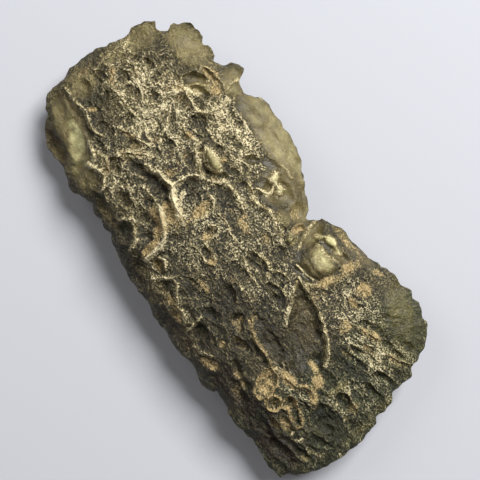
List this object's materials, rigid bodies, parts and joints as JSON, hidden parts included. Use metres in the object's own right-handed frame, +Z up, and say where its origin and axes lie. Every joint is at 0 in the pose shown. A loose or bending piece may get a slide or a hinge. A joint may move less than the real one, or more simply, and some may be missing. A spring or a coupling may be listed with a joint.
{
  "type": "moldavite",
  "caption": "Flat irregular slab of natural green glass, etched all over into pits, scallops and sharp crests, with a notch in its long upper edge and a ground-flat spot to rest on.",
  "frame": {"origin": "centre of the bounding box in X and Y, at the ground under the stone in Z", "axes": "+X along the stone's length towards its fan-grooved end, +Y towards the long edge with the notch, +Z up out of the pitted crown"},
  "size_m": [0.0666, 0.0318, 0.0116],
  "materials": {
    "glass": "olive green natural glass, finely etched, with cream crests and tan clay left in its pits"
  },
  "bodies": {
    "root": {"moldavite": "glass"}
  },
  "joints": []
}
